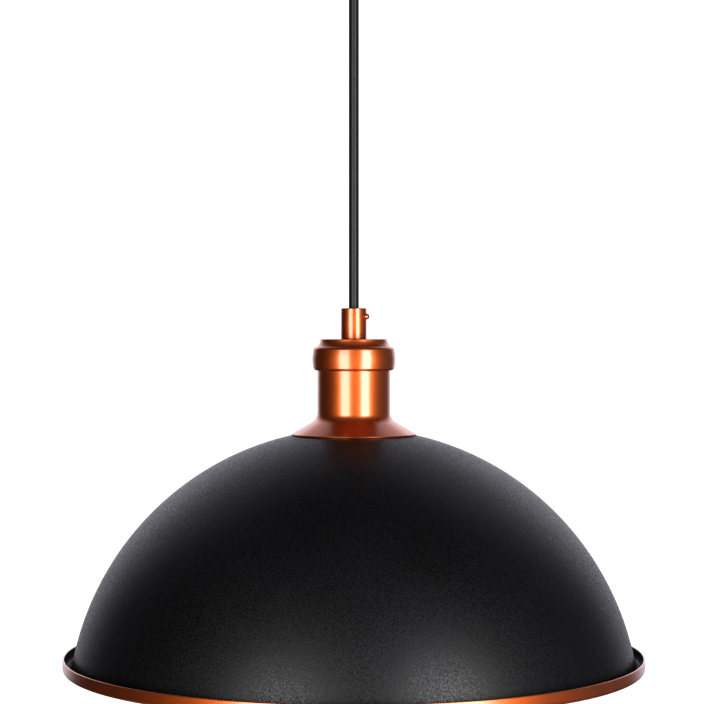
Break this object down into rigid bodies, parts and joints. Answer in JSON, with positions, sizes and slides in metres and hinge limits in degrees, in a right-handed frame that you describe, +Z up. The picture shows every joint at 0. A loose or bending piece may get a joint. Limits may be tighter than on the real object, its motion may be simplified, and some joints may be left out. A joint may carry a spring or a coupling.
{
  "type": "pendant ceiling light",
  "caption": "Pendant ceiling light: black dome shade with a curled rim, copper inside, copper neck and cord grip, black cord and ceiling canopy.",
  "frame": {"origin": "middle of the ceiling bracket's top face, in the ceiling plane", "axes": "+Z up, into the ceiling; the light hangs along -Z; -Y is the front, and +X is to the right seen from the front"},
  "size_m": [0.32, 0.32, 0.4503],
  "materials": {
    "black_powder_coat": "fine sand texture, matte",
    "copper": "satin copper",
    "zinc_steel": "zinc plated",
    "brass": "bright drawn brass",
    "porcelain": "glazed porcelain",
    "black_phenolic": "moulded phenolic",
    "white_nylon": "moulded nylon",
    "cord_sheath": "smooth black sheath",
    "brown_core": "core insulation",
    "blue_core": "core insulation",
    "earth_core": "green and yellow core insulation",
    "clear_glass": "clear glass",
    "nickel": "bright metal",
    "filament": "phosphor coating"
  },
  "bodies": {
    "ceiling": {"ceiling_bracket": "zinc_steel", "canopy": "black_powder_coat", "canopy_side_screws": "black_powder_coat", "canopy_washer": "zinc_steel", "canopy_nut": "zinc_steel", "canopy_nipple": "zinc_steel", "terminal_block": "white_nylon", "terminal_barrels": "brass", "terminal_clamp_screws": "zinc_steel", "terminal_fixing_screws": "zinc_steel", "canopy_grip": "copper", "canopy_grip_screw": "copper", "cord_end_in_canopy": "cord_sheath", "canopy_core_live": "brown_core", "canopy_core_earth": "earth_core", "canopy_core_neutral": "blue_core"},
    "cord": {"cord": "cord_sheath"},
    "lamp": {"lamp_grip": "copper", "lamp_grip_screw": "copper", "holder_cap": "copper", "neck_shell": "copper", "lamp_washer": "zinc_steel", "lamp_nut": "zinc_steel", "lamp_nipple": "zinc_steel", "earth_tag": "brass", "socket_bridge": "zinc_steel", "bridge_screws": "zinc_steel", "socket_body": "porcelain", "screw_shell": "brass", "centre_contact": "brass", "shell_rivet": "brass", "contact_straps": "brass", "socket_terminals": "brass", "socket_terminal_screws": "zinc_steel", "cord_end_in_lamp": "cord_sheath", "lamp_core_live": "brown_core", "lamp_core_neutral": "blue_core", "lamp_core_earth": "earth_core", "shade": "black_powder_coat", "shade_ring": "black_phenolic"},
    "bulb_tip": {"bulb_contact": "nickel", "bulb_insulator": "black_phenolic"},
    "bulb": {"bulb_screw_cap": "nickel", "bulb_glass": "clear_glass", "bulb_stem": "clear_glass", "bulb_filaments": "filament", "bulb_support_wires": "zinc_steel"}
  },
  "joints": [
    {"name": "cord_swing", "type": "hinge", "parent": "ceiling", "child": "cord", "pos_m": [0, 0, -0.052], "axis": [0, 1, 0], "range_deg": [-25, 25]},
    {"name": "lamp_tilt", "type": "hinge", "parent": "cord", "child": "lamp", "pos_m": [0, 0, -0.252], "axis": [1, 0, 0], "range_deg": [-15, 15]},
    {"name": "bulb_travel", "type": "slide", "parent": "lamp", "child": "bulb_tip", "axis": [0, 0, -1], "range_m": [0, 0.01815]},
    {"name": "bulb_turn", "type": "hinge", "parent": "bulb_tip", "child": "bulb", "pos_m": [0, 0, -0.32], "axis": [0, 0, -1], "range_deg": [0, 1800]}
  ],
  "couplings": [
    {"joint": "bulb_travel", "follows": "bulb_turn", "m_per_rad": 0.00057757}
  ]
}
